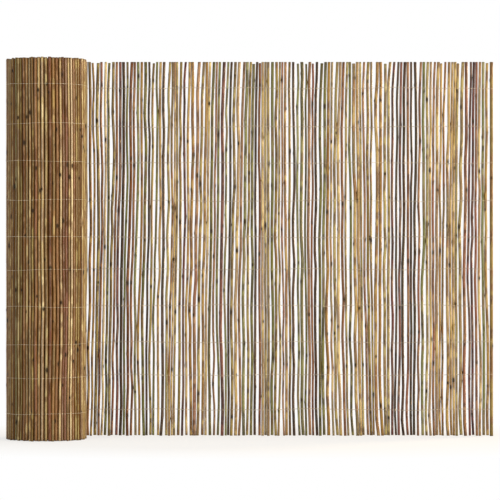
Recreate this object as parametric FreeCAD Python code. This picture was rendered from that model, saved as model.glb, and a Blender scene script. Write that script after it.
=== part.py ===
import FreeCAD, Part
import math
import os
import random

# A fence panel of thin unpeeled rods, bound side by side by rows of wire. It stands on end: one stretch of
# the mat is still rolled up and the rest runs out flat from the back of the roll. Sizes are in millimetres.
# X runs along the mat to its free end, Y from the roll's front to the mat's back, and Z is up. The origin
# is at the foot, in the middle of the panel's length and depth.

# The mat
fence_height = 1000.0  # the length that the rods are cut to
flat_length = 1183.0  # from the line where the mat leaves the roll to its free end
thickest_rod = 9.0
usual_rod = 7.0
thinnest_rod = 5.4
closest_rods = 0.35  # least gap between two rods, at the height where they come nearest
loose_gap = 1.3  # widest further gap between two rods
rod_taper = 0.09  # share of its thickness that a rod gains towards its thick end
shoulder_share = 0.27  # half the width of a rod's flat front, as a share of its thickness

# How crooked the rods are, and how evenly they are cut
mat_bow = -1.8  # sideways bow that all rods have, towards the roll
lean = 2.6  # usual sideways lean of a rod's two ends
bow = 2.6  # usual further bow in the middle of a rod
sway = 2.0  # usual sideways sway of a rod's lower and upper half, to opposite sides
own_bend = 0.10  # share of its bends that a rod doesn't have from its neighbour
knee = 3.5  # sideways step of a strongly bent rod
knee_every = 12  # one rod in so many has a knee
least_rise = 0.6  # least that a loose rod's foot stands clear of the ground
most_rise = 3.0
short_every = 7  # one rod in so many is cut short
least_short = 2.5  # least that such a rod's top falls short
most_short = 5.5

# Where the mat is drawn together
bunch_spacing = 248.0  # distance between two bunches
bunch_start = 295.0  # from the first loose rod to the first bunch
bunch_width = 22.0
bunch_gap = 3.0  # gap on both sides of a bunch

# The roll
turn_radius = 105.5  # centre line of the outermost half turn
turn_gap = 3.0  # free space between two turns, for the wires
half_turns = 6.5
ridge_pitch = 9.6  # distance from rod to rod in the roll
run_in = 28.0  # length of mat that still lies close against the roll after leaving it
roll_web = 2.4  # thickness where two rods of the roll press together

# The binding wires
wire_rows = 10
wire_thickness = 1.2
wire_clearance = 0.2  # between a wire and the faces of the rods
low_row = 71.0  # height of the lowest row
high_row_drop = 70.0  # from the top of the rods down to the highest row
row_drift = (0.0, -3.0, -11.0, -8.0, -7.0, -17.0, -15.0, -9.0, -8.0, 0.0)  # from even spacing
wire_straights = 12  # straight stretches of wire round half of the roll
wire_tuck = 2  # stretches by which the wire on the roll ends short of the mat

# The bark, and how often each kind comes
barks = ("olive", "green", "tan", "golden", "russet", "plum", "charcoal")
bark_shares = (24, 11, 13, 15, 17, 9, 11)
pale_barks = ("tan", "golden", "tan", "olive")  # in a bunch
dark_barks = ("russet", "plum", "charcoal", "green")  # midway between two bunches
dark_width = 60.0
free_end_bark = "olive"
layout_seed = 146

# What follows from these
half_rod = thickest_rod / 2
turn_pitch = thickest_rod + turn_gap
tangent_x = (turn_radius + half_rod - flat_length) / 2
mat_y = turn_radius
free_end_x = tangent_x + flat_length
loose_start = tangent_x + run_in
row_step = (fence_height - low_row - high_row_drop) / (wire_rows - 1)
row_heights = [low_row + i * row_step + row_drift[i % len(row_drift)] for i in range(wire_rows)]
between_rows = [(low + high) / 2 for low, high in zip(row_heights, row_heights[1:])]
levels = [0.0] + between_rows + [fence_height]


class Rod:
    """One rod: its thickness at the foot and top, and its sideways wander at the levels where it bends."""

    def __init__(self, foot_size, top_size, bends, foot, top):
        self.foot_size = foot_size
        self.top_size = top_size
        self.bends = bends
        self.foot = foot
        self.top = top
        self.x = 0.0

    def size(self, z):
        """Thickness at a height."""
        return self.foot_size + (self.top_size - self.foot_size) * z / fence_height

    def wander(self, z):
        """Sideways wander at a height, on straight lines from bend to bend."""
        for (low, start), (high, end) in zip(self.bends, self.bends[1:]):
            if z <= high:
                return start + (end - start) * (z - low) / (high - low)
        return self.bends[-1][1]

    def left(self, z):
        """How far the rod's left side reaches from its own x."""
        return self.wander(z) - self.size(z) / 2

    def right(self, z):
        """How far the rod's right side reaches from its own x."""
        return self.wander(z) + self.size(z) / 2

    def section(self, z):
        """Six-sided outline at a height, with a flat face at the front for the wires to lie on."""
        x = self.x + self.wander(z)
        half = self.size(z) / 2
        front = mat_y - half_rod
        shoulder = 2 * half * shoulder_share
        corners = [
            (x - half, front + half),
            (x - shoulder, front),
            (x + shoulder, front),
            (x + half, front + half),
            (x + shoulder, front + 2 * half),
            (x - shoulder, front + 2 * half),
        ]
        points = [FreeCAD.Vector(px, py, z) for px, py in corners]
        return Part.makePolygon(points + points[:1])

    def solid(self):
        """The rod, lofted straight from bend to bend."""
        inner = [z for z, _ in self.bends[1:-1]]
        sections = [self.section(z) for z in [self.foot] + inner + [self.top]]
        return Part.makeLoft(sections, True, True)


def bend_shape(leaning, bowed, swayed):
    """Sideways wander at every level of a rod that leans, bows and sways by so much."""
    turns = [math.pi * z / fence_height for z in levels]
    heights = [2 * z / fence_height - 1 for z in levels]
    bowed += mat_bow
    return [leaning * h + bowed * math.sin(t) + swayed * math.sin(2 * t) for h, t in zip(heights, turns)]


def draw_bends(draw):
    """Two levels at which a rod bends, one in its lower half and one in its upper half."""
    middle = len(levels) // 2
    return [draw.randrange(2, middle), draw.randrange(middle, len(levels) - 2)]


def draw_rod(draw, wander, bent, knees):
    """A loose rod, bent at some levels as its stretch of the mat wanders there."""
    size = draw.triangular(thinnest_rod, thickest_rod, usual_rod)
    taper = size * rod_taper * draw.random()
    ends = [size - taper, size]
    draw.shuffle(ends)
    offsets = {i: wander[i] for i in [0] + bent + [len(levels) - 1]}
    if knees and draw.randrange(knee_every) == 0:
        offsets[draw.choice(bent)] += draw.choice((-knee, knee))
    bends = [(levels[i], offsets[i]) for i in sorted(offsets)]
    foot = draw.uniform(least_rise, most_rise)
    short = draw.uniform(least_short, most_short) if draw.randrange(short_every) == 0 else 0.0
    return Rod(ends[0], ends[1], bends, foot, fence_height - short)


def free_end_rod():
    """The last rod: straight, thick and standing on the ground, with the wires turned round it."""
    straight = [(0.0, 0.0), (fence_height, 0.0)]
    return Rod(thickest_rod, thickest_rod, straight, 0.0, fence_height)


def to_bunch(distance):
    """How far a place along the loose rods is from the nearest bunch."""
    return abs((distance - bunch_start + bunch_spacing / 2) % bunch_spacing - bunch_spacing / 2)


def nearest(rod, other):
    """Least x from one rod to the next at which they just touch."""
    heights = levels + [rod.top, other.top]
    return max(rod.right(z) - other.left(z) for z in heights)


def draw_gap(draw, off):
    """Gap before a rod: none within a bunch, wide beside it and uneven elsewhere."""
    if off < bunch_width / 2:
        return 0.0
    if off < bunch_width / 2 + thickest_rod:
        return bunch_gap
    return loose_gap * draw.random()


def draw_bark(draw, off):
    """Bark of a rod: pale in a bunch, dark midway between two bunches and mixed elsewhere."""
    if off < bunch_width / 2:
        return draw.choice(pale_barks)
    if off > bunch_spacing / 2 - dark_width / 2:
        return draw.choice(dark_barks)
    return draw.choices(barks, bark_shares)[0]


def lay_rods():
    """The loose rods in their places and the bark of each, from the roll to the free end.

    Each rod lies against the one before it, at the height where they come nearest, and in a bunch it has the
    same bends. The room that is left at the free end is shared out over all the gaps.
    """
    draw = random.Random(layout_seed)
    last = free_end_rod()
    last.x = free_end_x - last.right(0.0)
    fresh = math.sqrt(own_bend * (2 - own_bend))
    shape = [draw.gauss(0.0, size) for size in (lean, bow, sway)]
    wander = bend_shape(*shape)
    bent = draw_bends(draw)
    rods, kinds = [], []
    side = loose_start
    while True:
        off = to_bunch(side - loose_start + usual_rod / 2)
        bunched = off < bunch_width / 2
        if not bunched:
            changes = [draw.gauss(0.0, fresh * size) for size in (lean, bow, sway)]
            shape = [(1 - own_bend) * old + change for old, change in zip(shape, changes)]
            wander = bend_shape(*shape)
            bent = draw_bends(draw)
        rod = draw_rod(draw, wander, bent, not bunched)
        if rods:
            touching = rods[-1].x + nearest(rods[-1], rod)
        else:
            touching = loose_start - min(rod.left(z) for z in levels)
        rod.x = touching + closest_rods + draw_gap(draw, off)
        room = last.x - rod.x - nearest(rod, last) - closest_rods
        if room < 0:
            break
        rods.append(rod)
        kinds.append(draw_bark(draw, off))
        side = rod.x + rod.right(fence_height / 2)
        spare = room
    for i, rod in enumerate(rods):
        rod.x += spare * (i + 1) / (len(rods) + 1)
    return rods + [last], kinds + [free_end_bark]


def half_turn(number):
    """Radius and centre of one half turn's centre line, counted from the outermost."""
    radius = turn_radius - number * turn_pitch / 2
    centre_y = mat_y - turn_radius - (number % 2) * turn_pitch / 2
    return radius, centre_y


def roll_point(distance, height):
    """A point over the mat's centre line, by distance into the roll and height above its outer side."""
    if distance <= 0:
        return tangent_x - distance, mat_y + height
    number = 0
    while distance > math.pi * half_turn(number)[0]:
        distance -= math.pi * half_turn(number)[0]
        number += 1
    radius, centre_y = half_turn(number)
    angle = math.pi / 2 + number * math.pi + distance / radius
    reach = radius + height
    return tangent_x + reach * math.cos(angle), centre_y + reach * math.sin(angle)


def rolled_turns():
    """The turns of the roll as one band, with a ridge on both of its sides for each rod."""
    draw = random.Random(layout_seed)
    whole = int(half_turns)
    length = sum(math.pi * half_turn(i)[0] for i in range(whole))
    length += (half_turns - whole) * math.pi * half_turn(whole)[0]
    count = round((length + run_in) / ridge_pitch)
    pitch = (length + run_in) / count
    outer, inner = [], []
    for i in range(count):
        centre = (i + 0.5) * pitch - run_in
        half = draw.triangular(usual_rod, thickest_rod, thickest_rod) / 2
        shoulder = shoulder_share * pitch
        for along, height in ((-pitch / 2, roll_web / 2), (-shoulder, half), (shoulder, half)):
            outer.append(roll_point(centre + along, height))
            inner.append(roll_point(centre + along, -height))
    outer.append(roll_point(length, roll_web / 2))
    inner.append(roll_point(length, -roll_web / 2))
    points = [FreeCAD.Vector(x, y, 0.0) for x, y in outer + inner[::-1]]
    band = Part.Face(Part.makePolygon(points + points[:1]))
    return band.extrude(FreeCAD.Vector(0.0, 0.0, fence_height))


def strand(stand_off):
    """Corners of a binding wire's path, one distance off the rods' faces all the way.

    It runs along the mat's front, turns round the last rod, comes back behind the mat and goes round the roll,
    where it is drawn straight from rod to rod.
    """
    front = mat_y - half_rod - stand_off
    back = mat_y + half_rod + stand_off
    tip = free_end_x + stand_off
    shoulder = free_end_x - half_rod + thickest_rod * shoulder_share
    corners = [(tangent_x, front), (shoulder, front)]
    corners += [(tip, (mat_y + front) / 2), (tip, (mat_y + back) / 2), (shoulder, back)]
    step = math.pi / wire_straights
    for i in range(2 * wire_straights - wire_tuck):
        radius, centre_y = half_turn(i // wire_straights)
        angle = math.pi / 2 + (i + 0.5) * step
        reach = (radius + half_rod + stand_off) / math.cos(step / 2)
        corners.append((tangent_x + reach * math.cos(angle), centre_y + reach * math.sin(angle)))
    return corners


def binding_wire(height):
    """One row of wire, laid flat on the rods at a height."""
    corners = strand(wire_clearance) + strand(wire_clearance + wire_thickness)[::-1]
    points = [FreeCAD.Vector(x, y, height - wire_thickness / 2) for x, y in corners]
    outline = Part.Face(Part.makePolygon(points + points[:1]))
    return outline.extrude(FreeCAD.Vector(0.0, 0.0, wire_thickness))


def write(shape, node):
    """Save one node."""
    shape.exportStep("parts/" + node + ".step")


os.makedirs("parts", exist_ok=True)
rods, kinds = lay_rods()
for bark in barks:
    group = [rod.solid() for rod, kind in zip(rods, kinds) if kind == bark]
    write(Part.makeCompound(group), bark + "_rods")
write(rolled_turns(), "rolled_turns")
for i, height in enumerate(row_heights):
    write(binding_wire(height), "binding_wire_%02d" % (i + 1))
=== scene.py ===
import logging
import math
import random
from dataclasses import dataclass, field
from enum import Enum
from typing import Any

import bpy
import numpy as np
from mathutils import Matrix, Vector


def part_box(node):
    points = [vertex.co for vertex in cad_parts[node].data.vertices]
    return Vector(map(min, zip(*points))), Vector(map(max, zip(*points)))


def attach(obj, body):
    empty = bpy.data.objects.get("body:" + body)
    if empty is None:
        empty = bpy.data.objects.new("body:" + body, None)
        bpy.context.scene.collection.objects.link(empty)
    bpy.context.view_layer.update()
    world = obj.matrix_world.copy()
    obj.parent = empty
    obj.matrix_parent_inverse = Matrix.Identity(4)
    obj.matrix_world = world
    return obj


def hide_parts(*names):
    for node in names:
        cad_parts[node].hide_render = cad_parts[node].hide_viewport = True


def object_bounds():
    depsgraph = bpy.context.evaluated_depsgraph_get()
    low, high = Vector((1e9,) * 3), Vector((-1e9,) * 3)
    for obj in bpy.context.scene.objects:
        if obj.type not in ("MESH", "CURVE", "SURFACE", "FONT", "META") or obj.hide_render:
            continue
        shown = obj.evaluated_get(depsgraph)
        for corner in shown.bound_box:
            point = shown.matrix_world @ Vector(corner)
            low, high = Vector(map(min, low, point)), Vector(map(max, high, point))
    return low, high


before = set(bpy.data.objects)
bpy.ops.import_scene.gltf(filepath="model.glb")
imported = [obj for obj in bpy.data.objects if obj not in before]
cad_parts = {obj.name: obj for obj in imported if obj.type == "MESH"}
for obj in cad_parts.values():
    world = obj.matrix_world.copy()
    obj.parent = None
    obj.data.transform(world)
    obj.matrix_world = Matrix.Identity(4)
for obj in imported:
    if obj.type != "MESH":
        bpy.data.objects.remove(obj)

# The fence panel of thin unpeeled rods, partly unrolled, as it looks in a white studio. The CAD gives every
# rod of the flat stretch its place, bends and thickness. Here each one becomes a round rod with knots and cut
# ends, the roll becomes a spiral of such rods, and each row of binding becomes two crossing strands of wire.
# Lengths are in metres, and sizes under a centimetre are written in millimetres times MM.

MM = 0.001
MODEL_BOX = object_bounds()
Socket = bpy.types.NodeSocket
Tree = bpy.types.NodeTree
log = logging.getLogger("fence_panel")


def linear(colour: str) -> tuple[float, float, float, float]:
    """Turn an sRGB colour into the linear one that Blender works with.

    Args:
        colour: hex value, such as "#8E8543".

    Returns:
        Red, green, blue and alpha, from 0 to 1.
    """
    shares = [int(colour[i : i + 2], 16) / 255 for i in (1, 3, 5)]
    red, green, blue = (s / 12.92 if s <= 0.04045 else ((s + 0.055) / 1.055) ** 2.4 for s in shares)
    return red, green, blue, 1.0


def add(
    tree: Tree,
    kind: str,
    settings: dict[str, Any] | None = None,
    inputs: dict[str | int, Any] | None = None,
) -> bpy.types.Node:
    """Add a shader node with its settings and links.

    Args:
        tree: node tree that gets the node.
        kind: Blender's name of the node, without "ShaderNode".
        settings: properties of the node. "stops" fills a colour ramp with pairs of place and colour.
        inputs: values of its sockets, by name or number. A value that is another node's socket is linked.

    Returns:
        The new node.
    """
    node = tree.nodes.new("ShaderNode" + kind)
    for name, value in (settings or {}).items():
        if name != "stops":
            setattr(node, name, value)
            continue
        ramp = node.color_ramp
        while len(ramp.elements) < len(value):
            ramp.elements.new(1.0)
        for element, (place, colour) in zip(ramp.elements, value):
            element.position = place
            element.color = colour
    for name, value in (inputs or {}).items():
        if isinstance(value, Socket):
            tree.links.new(value, node.inputs[name])
        else:
            node.inputs[name].default_value = value
    return node


# Sockets of the Mix node for colours, whose names aren't unique
MIX_SHARE = 0
MIX_A = 6
MIX_B = 7
MIX_RESULT = 2


def new_material(name: str) -> tuple[bpy.types.Material, Tree]:
    """Make an empty node material.

    Args:
        name: name of the material.

    Returns:
        The material and its node tree.
    """
    material = bpy.data.materials.new(name)
    material.use_nodes = True
    material.node_tree.nodes.clear()
    return material, material.node_tree


def grey(share: float) -> tuple[float, float, float, float]:
    """A neutral linear colour of that brightness."""
    return share, share, share, 1.0


@dataclass(frozen=True)
class Bark:
    """Thin bark of an unpeeled rod, dried on the wood: satin, finely wrinkled along the rod, and patchy.

    The eye sees a rod change colour every hand's breadth, with fine streaks along it, pale pores, scuffs that
    show the wood, dark knots, and a dried dark edge at the saw cuts.
    """

    name: str
    runs: tuple[str, ...]  # colours that follow each other along a rod
    stain: str  # the darker streaks and the weathered stretches
    bloom: str  # pale dust on the high spots
    pore: str = "#B5A27A"
    bare_wood: str = "#BFA06E"  # where the bark is rubbed off
    scar: str = "#18110A"  # the heart of a knot
    dried: str = "#3B3022"  # the bark at the saw cuts
    crevice_shade: str = "#68420A"  # painted shade between the rods of the roll, a warm dark brown
    flank_light_tint: str = "#FFDE7C"  # painted warm light, bounced between neighbours, multiplied into the flanks of the loose rods
    brightness: tuple[float, float] = (0.64, 1.52)  # of the darkest and of the palest rod
    saturation: tuple[float, float] = (1.14, 0.69)  # of the same two
    hue: tuple[float, float] = (0.486, 0.507)  # of the same two, where 0.5 keeps the colour
    roughness: tuple[float, float] = (0.33, 0.52)  # of the smoothest and of the dullest spots
    crevice_roughness: float = 0.3  # what the full painted crevice shade adds
    gloss: float = 0.36
    gloss_tint: str = "#F6DAB4"
    ior: float = 1.47
    relief: float = 0.35 * MM
    pore_rise: float = 0.5  # as a share of the wrinkles' relief, as is the next
    scar_depth: float = 1.2
    run_length: float = 160 * MM
    run_range: tuple[float, float] = (0.30, 0.70)  # the noise seldom leaves it
    run_hold: float = 0.62  # share of its stretch over which a colour stays the same
    own_lean: float = 0.17  # most that one rod's colours lean to either end of the runs
    ragged_edge: float = 0.035  # of the border between two colours
    streak_width: float = 0.9 * MM  # drawn several times as coarse as the real wrinkles, so that it shows
    streak_length: float = 34 * MM
    streak_share: float = 0.62
    mottle_width: float = 3.2 * MM  # drawn about twice as coarse as on the real bark, so that it shows
    mottle_length: float = 11 * MM
    bloom_share: float = 0.45
    pore_width: float = 1.5 * MM  # from pore to pore. Only a close view shows them.
    pore_length: float = 3.4 * MM
    pore_share: float = 0.5
    scuff_width: float = 5 * MM
    scuff_length: float = 42 * MM
    scuff_share: float = 0.6
    patch_width: float = 9 * MM
    patch_length: float = 38 * MM
    patch_share: float = 0.6
    # the most that the painted crevice shade covers
    crevice_shade_share: float = 0.95
    knot_half_width: float = 2.9 * MM
    knot_half_length: float = 4.8 * MM
    torn_edge: float = 0.45  # how ragged a knot is, as a share of its size
    lip_share: float = 0.5
    scar_share: float = 0.97
    dry_end: float = 5 * MM
    dried_share: float = 0.55

    def grain(self, width: float, length: float) -> tuple[float, float, float]:
        """Scale at which one unit is a pattern's width across the rod and its length along it."""
        return 1 / width, 1 / width, 1 / length

    def stops(self) -> list[tuple[float, tuple[float, float, float, float]]]:
        """Stops of the ramp: each colour holds for most of its share and then changes quickly."""
        low, high = self.run_range
        step = (high - low) / len(self.runs)
        stops = []
        for i, colour in enumerate(self.runs):
            stops.append((low + i * step, linear(colour)))
            stops.append((low + (i + self.run_hold) * step, linear(colour)))
        return stops

    def run_colour(self, tree: Tree, place: Socket, rod: Socket, mottle: Socket) -> Socket:
        """Colour that changes along the rod, with its own share of each colour on every rod.

        The large numbers set the rods far apart in the noise, so that no two are alike.

        Args:
            tree: node tree of the bark.
            place: place on the object, in metres.
            rod: the rod's own three numbers from 0 to 1. The second one is its paleness.
            mottle: fine mottling, which makes the border between two colours ragged.

        Returns:
            The colour.
        """
        chance = add(tree, "SeparateXYZ", inputs={0: rod}).outputs
        height = add(tree, "SeparateXYZ", inputs={0: place}).outputs["Z"]
        along = add(tree, "Math", {"operation": "DIVIDE"}, {0: height, 1: self.run_length}).outputs[0]
        seed_a = add(tree, "Math", {"operation": "MULTIPLY"}, {0: chance["X"], 1: 97.0}).outputs[0]
        seed_b = add(tree, "Math", {"operation": "MULTIPLY"}, {0: chance["Y"], 1: 61.0}).outputs[0]
        run_place = add(tree, "CombineXYZ", inputs={"X": seed_a, "Y": seed_b, "Z": along}).outputs[0]
        run = add(tree, "TexNoise", inputs={"Vector": run_place, "Scale": 1.0, "Detail": 1.2}).outputs[0]
        lean = add(tree, "MapRange", inputs={
            "Value": chance["Z"], "To Min": -self.own_lean, "To Max": self.own_lean}).outputs[0]
        ragged = add(tree, "MapRange", inputs={
            "Value": mottle, "To Min": -self.ragged_edge, "To Max": self.ragged_edge}).outputs[0]
        shifted = add(tree, "Math", {"operation": "ADD"}, {0: run, 1: lean}).outputs[0]
        shifted = add(tree, "Math", {"operation": "ADD"}, {0: shifted, 1: ragged}).outputs[0]
        return add(tree, "ValToRGB", {"stops": self.stops()}, {0: shifted}).outputs[0]

    def marked(self, tree: Tree, colour: Socket, streak: Socket, mottle: Socket, dot: Socket) -> Socket:
        """Lay fine marks over the bark: dark wrinkles, pale dust on the high spots, and pale pores.

        Args:
            tree: node tree of the bark.
            colour: colour of the bark so far.
            streak: wrinkles along the rod.
            mottle: mottling, whose high spots are dusty.
            dot: share of the pores' own colour.

        Returns:
            The colour with these marks.
        """
        dark = add(tree, "MapRange", inputs={
            "Value": streak, "From Min": 0.52, "From Max": 0.78,
            "To Min": 0.0, "To Max": self.streak_share}).outputs[0]
        colour = add(tree, "Mix", {"data_type": "RGBA"},
                     {MIX_SHARE: dark, MIX_A: colour, MIX_B: linear(self.stain)}).outputs[MIX_RESULT]
        pale = add(tree, "MapRange", inputs={
            "Value": mottle, "From Min": 0.54, "From Max": 0.76,
            "To Min": 0.0, "To Max": self.bloom_share}).outputs[0]
        colour = add(tree, "Mix", {"data_type": "RGBA"},
                     {MIX_SHARE: pale, MIX_A: colour, MIX_B: linear(self.bloom)}).outputs[MIX_RESULT]
        return add(tree, "Mix", {"data_type": "RGBA"},
                   {MIX_SHARE: dot, MIX_A: colour, MIX_B: linear(self.pore)}).outputs[MIX_RESULT]

    def worn(self, tree: Tree, colour: Socket, place: Socket, rod: Socket) -> Socket:
        """Lay wear over the bark: scuffs that show the wood, and weathered stretches that have gone dark.

        Args:
            tree: node tree of the bark.
            colour: colour of the bark so far.
            place: place on the object, in metres.
            rod: the rod's own three numbers, which set its wear apart from its neighbours'.

        Returns:
            The colour with this wear.
        """
        scuff_place = add(tree, "Mapping", inputs={
            "Vector": place, "Scale": self.grain(self.scuff_width, self.scuff_length)}).outputs[0]
        scuff_place = add(tree, "VectorMath", {"operation": "ADD"}, {0: scuff_place, 1: rod}).outputs[0]
        scuff = add(tree, "TexNoise", inputs={"Vector": scuff_place, "Scale": 1.0, "Detail": 5.0}).outputs[0]
        bare = add(tree, "MapRange", inputs={
            "Value": scuff, "From Min": 0.675, "From Max": 0.72,
            "To Min": 0.0, "To Max": self.scuff_share}).outputs[0]
        colour = add(tree, "Mix", {"data_type": "RGBA"},
                     {MIX_SHARE: bare, MIX_A: colour, MIX_B: linear(self.bare_wood)}).outputs[MIX_RESULT]
        patch_place = add(tree, "Mapping", inputs={
            "Vector": place, "Scale": self.grain(self.patch_width, self.patch_length)}).outputs[0]
        patch_place = add(tree, "VectorMath", {"operation": "MULTIPLY_ADD"},
                          {0: rod, 1: (37.0, 37.0, 37.0), 2: patch_place}).outputs[0]
        patch = add(tree, "TexNoise", inputs={"Vector": patch_place, "Scale": 1.0, "Detail": 3.0}).outputs[0]
        weathered = add(tree, "MapRange", inputs={
            "Value": patch, "From Min": 0.6, "From Max": 0.66,
            "To Min": 0.0, "To Max": self.patch_share}).outputs[0]
        return add(tree, "Mix", {"data_type": "RGBA"},
                   {MIX_SHARE: weathered, MIX_A: colour, MIX_B: linear(self.stain)}).outputs[MIX_RESULT]

    def faded(self, tree: Tree, colour: Socket, rod: Socket) -> Socket:
        """Fade each rod by its paleness, and paint warm bounced light onto the flanks that face its
        neighbours.

        The dark rods are redder. The attribute flank is 0 at a rod's front and back and 1 where it faces its
        neighbours.

        Args:
            tree: node tree of the bark.
            colour: colour of the bark so far.
            rod: the rod's own three numbers.

        Returns:
            The faded colour.
        """
        paleness = add(tree, "SeparateXYZ", inputs={0: rod}).outputs["Y"]
        value = add(tree, "MapRange", inputs={
            "Value": paleness, "To Min": self.brightness[0], "To Max": self.brightness[1]}).outputs[0]
        saturation = add(tree, "MapRange", inputs={
            "Value": paleness, "To Min": self.saturation[0], "To Max": self.saturation[1]}).outputs[0]
        hue = add(tree, "MapRange", inputs={
            "Value": paleness, "From Max": 0.65, "To Min": self.hue[0], "To Max": self.hue[1]}).outputs[0]
        colour = add(tree, "HueSaturation", inputs={
            "Hue": hue, "Saturation": saturation, "Value": value, "Color": colour}).outputs[0]
        # Painted light: a warm tint multiplied into the flanks, standing in for light bounced between the
        # rods
        flank = add(tree, "Attribute", {"attribute_name": "flank"}).outputs["Fac"]
        warm = add(tree, "MapRange", inputs={"Value": flank, "From Min": 0.5, "From Max": 0.95}).outputs[0]
        return add(tree, "Mix", {"data_type": "RGBA", "blend_type": "MULTIPLY"},
                   {MIX_SHARE: warm, MIX_A: colour, MIX_B: linear(self.flank_light_tint)}).outputs[MIX_RESULT]

    def knot_distance(self, tree: Tree, streak: Socket) -> Socket:
        """Distance from the middle of the nearest knot, 1 at its edge, which the streaks make ragged.

        The attribute knot gives how far a point is from that knot round the rod and along it, in metres.

        Args:
            tree: node tree of the bark.
            streak: wrinkles along the rod.

        Returns:
            The distance.
        """
        knot = add(tree, "Attribute", {"attribute_name": "knot"}).outputs["Vector"]
        spread = (1 / self.knot_half_width, 1 / self.knot_half_length, 0.0)
        oval = add(tree, "VectorMath", {"operation": "MULTIPLY"}, {0: knot, 1: spread}).outputs[0]
        far = add(tree, "VectorMath", {"operation": "LENGTH"}, {0: oval}).outputs["Value"]
        torn = add(tree, "MapRange", inputs={
            "Value": streak, "To Min": -self.torn_edge, "To Max": self.torn_edge}).outputs[0]
        return add(tree, "Math", {"operation": "ADD"}, {0: far, 1: torn}).outputs[0]

    def material(self) -> bpy.types.Material:
        """Build the bark.

        Returns:
            The material. It reads the attributes rod, knot, tip, flank and deep of the mesh.
        """
        material, tree = new_material(self.name)
        place = add(tree, "TexCoord").outputs["Object"]
        rod = add(tree, "Attribute", {"attribute_name": "rod"}).outputs["Vector"]

        # Patterns that both the colour and the relief use
        mottle_place = add(tree, "Mapping", inputs={
            "Vector": place, "Scale": self.grain(self.mottle_width, self.mottle_length)}).outputs[0]
        mottle = add(tree, "TexNoise", inputs={
            "Vector": mottle_place, "Scale": 1.0, "Detail": 3.0}).outputs[0]
        streak_place = add(tree, "Mapping", inputs={
            "Vector": place, "Scale": self.grain(self.streak_width, self.streak_length)}).outputs[0]
        streak = add(tree, "TexNoise", inputs={
            "Vector": streak_place, "Scale": 1.0, "Detail": 4.0}).outputs[0]
        pore_place = add(tree, "Mapping", inputs={
            "Vector": place, "Scale": self.grain(self.pore_width, self.pore_length)}).outputs[0]
        pore = add(tree, "TexVoronoi", inputs={"Vector": pore_place, "Scale": 1.0}).outputs["Distance"]
        dot = add(tree, "MapRange", inputs={
            "Value": pore, "From Min": 0.10, "From Max": 0.2,
            "To Min": self.pore_share, "To Max": 0.0}).outputs[0]

        colour = self.run_colour(tree, place, rod, mottle)
        colour = self.marked(tree, colour, streak, mottle, dot)
        colour = self.worn(tree, colour, place, rod)
        colour = self.faded(tree, colour, rod)

        # Painted shade where two rods of the roll press together. The attribute is 1 there and least on their
        # crests.
        deep = add(tree, "Attribute", {"attribute_name": "deep"}).outputs["Fac"]
        crevice_shading = add(tree, "MapRange", inputs={
            "Value": deep, "From Min": 0.0, "From Max": 0.56,
            "To Min": 0.0, "To Max": self.crevice_shade_share}).outputs[0]
        colour = add(tree, "Mix", {"data_type": "RGBA"},
                     {MIX_SHARE: crevice_shading, MIX_A: colour, MIX_B: linear(self.crevice_shade)}).outputs[MIX_RESULT]

        # Knots: a dark oval scar with a stained lip round it
        far = self.knot_distance(tree, streak)
        lip = add(tree, "MapRange", inputs={
            "Value": far, "From Min": 1.1, "From Max": 2.1,
            "To Min": self.lip_share, "To Max": 0.0}).outputs[0]
        colour = add(tree, "Mix", {"data_type": "RGBA"},
                     {MIX_SHARE: lip, MIX_A: colour, MIX_B: linear(self.stain)}).outputs[MIX_RESULT]
        scar = add(tree, "MapRange", inputs={
            "Value": far, "From Min": 0.75, "From Max": 1.2,
            "To Min": self.scar_share, "To Max": 0.0}).outputs[0]
        colour = add(tree, "Mix", {"data_type": "RGBA"},
                     {MIX_SHARE: scar, MIX_A: colour, MIX_B: linear(self.scar)}).outputs[MIX_RESULT]

        # The bark dries dark at the saw cuts
        tip = add(tree, "Attribute", {"attribute_name": "tip"}).outputs["Fac"]
        dried = add(tree, "MapRange", inputs={
            "Value": tip, "From Max": self.dry_end, "To Min": self.dried_share, "To Max": 0.0}).outputs[0]
        colour = add(tree, "Mix", {"data_type": "RGBA"},
                     {MIX_SHARE: dried, MIX_A: colour, MIX_B: linear(self.dried)}).outputs[MIX_RESULT]

        # Relief: wrinkles along the rod, pores that stand out and the sunken scars
        relief = add(tree, "Math", {"operation": "MULTIPLY_ADD"},
                     {0: dot, 1: self.pore_rise, 2: streak}).outputs[0]
        relief = add(tree, "Math", {"operation": "MULTIPLY_ADD"},
                     {0: scar, 1: -self.scar_depth, 2: relief}).outputs[0]
        bump = add(tree, "Bump", inputs={
            "Height": relief, "Distance": self.relief, "Strength": 0.8}).outputs[0]
        rough = add(tree, "MapRange", inputs={
            "Value": mottle, "From Min": 0.3, "From Max": 0.7,
            "To Min": self.roughness[0], "To Max": self.roughness[1]}).outputs[0]
        rough = add(tree, "Math", {"operation": "MULTIPLY_ADD"},
                    {0: crevice_shading, 1: self.crevice_roughness, 2: rough}).outputs[0]
        shader = add(tree, "BsdfPrincipled", inputs={
            "Base Color": colour, "Roughness": rough, "Normal": bump, "IOR": self.ior,
            "Specular IOR Level": self.gloss, "Specular Tint": linear(self.gloss_tint)})
        add(tree, "OutputMaterial", inputs={"Surface": shader.outputs[0]})
        return material


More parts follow.
